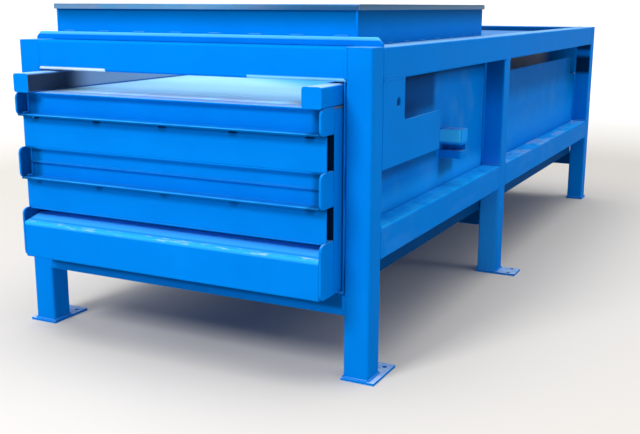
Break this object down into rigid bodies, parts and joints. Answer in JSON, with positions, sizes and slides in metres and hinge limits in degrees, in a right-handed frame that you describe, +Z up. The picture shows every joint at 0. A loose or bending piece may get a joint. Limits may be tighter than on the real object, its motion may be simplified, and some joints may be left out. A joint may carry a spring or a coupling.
{
  "type": "stationary waste compactor",
  "caption": "Stationary waste compactor: welded tube frame on legs, hopper collar over the front bay and a horizontal ram that pushes waste out at the front.",
  "frame": {"origin": "on the floor, under the middle of the machine's length and width with the ram as pictured", "axes": "+Z up, the discharge end and the ram's face towards -Y, +X to the right seen from that end"},
  "size_m": [2.116, 4.798, 1.606],
  "materials": {
    "blue_enamel": "gloss enamel",
    "bare_steel": "worn bare steel",
    "cylinder_enamel": "satin machine enamel",
    "chromed_steel": "ground and chromed"
  },
  "bodies": {
    "frame": {"chamber_floor": "blue_enamel", "chamber_wall_left": "blue_enamel", "chamber_wall_right": "blue_enamel", "cylinder_barrel": "cylinder_enamel", "cylinder_gland": "cylinder_enamel", "floor_wear_strips": "bare_steel", "front_bottom_rail_left": "blue_enamel", "front_bottom_rail_right": "blue_enamel", "front_cross_beam": "blue_enamel", "front_foot_plates": "blue_enamel", "front_lintel": "blue_enamel", "front_post_left": "blue_enamel", "front_post_right": "blue_enamel", "hold_down_bar_left": "bare_steel", "hold_down_bar_right": "bare_steel", "hopper_front_wall": "blue_enamel", "hopper_rear_wall": "blue_enamel", "hopper_rim": "bare_steel", "hopper_sill": "blue_enamel", "hopper_wall_left": "blue_enamel", "hopper_wall_right": "blue_enamel", "mid_cross_beam": "blue_enamel", "mid_foot_plates": "blue_enamel", "mid_post_left": "blue_enamel", "mid_post_right": "blue_enamel", "mid_top_beam": "blue_enamel", "rear_bottom_rail_left": "blue_enamel", "rear_bottom_rail_right": "blue_enamel", "rear_clevis": "blue_enamel", "rear_clevis_pin": "bare_steel", "rear_cross_beam": "blue_enamel", "rear_deck_cover": "blue_enamel", "rear_foot_plates": "blue_enamel", "rear_post_left": "blue_enamel", "rear_post_right": "blue_enamel", "rear_thrust_beam": "blue_enamel", "rear_top_beam": "blue_enamel", "side_plate_left": "blue_enamel", "side_plate_right": "blue_enamel", "tie_bracket_left": "blue_enamel", "tie_bracket_right": "blue_enamel", "top_rail_left": "blue_enamel", "top_rail_right": "blue_enamel"},
    "ram": {"piston_rod": "chromed_steel", "ram_bottom_plate": "blue_enamel", "ram_clevis": "blue_enamel", "ram_clevis_pin": "bare_steel", "ram_end_lugs": "blue_enamel", "ram_front_plate": "blue_enamel", "ram_guide_tube_left": "blue_enamel", "ram_guide_tube_right": "blue_enamel", "ram_lower_flange": "blue_enamel", "ram_lower_slat": "blue_enamel", "ram_middle_channel": "blue_enamel", "ram_side_plate_left": "blue_enamel", "ram_side_plate_right": "blue_enamel", "ram_skirt": "blue_enamel", "ram_top_plate": "bare_steel", "ram_upper_channel": "blue_enamel", "ram_upper_slat": "blue_enamel"}
  },
  "joints": [
    {"name": "ram_slide", "type": "slide", "parent": "frame", "child": "ram", "axis": [0, -1, 0], "range_m": [-1.905, 0.15]}
  ]
}
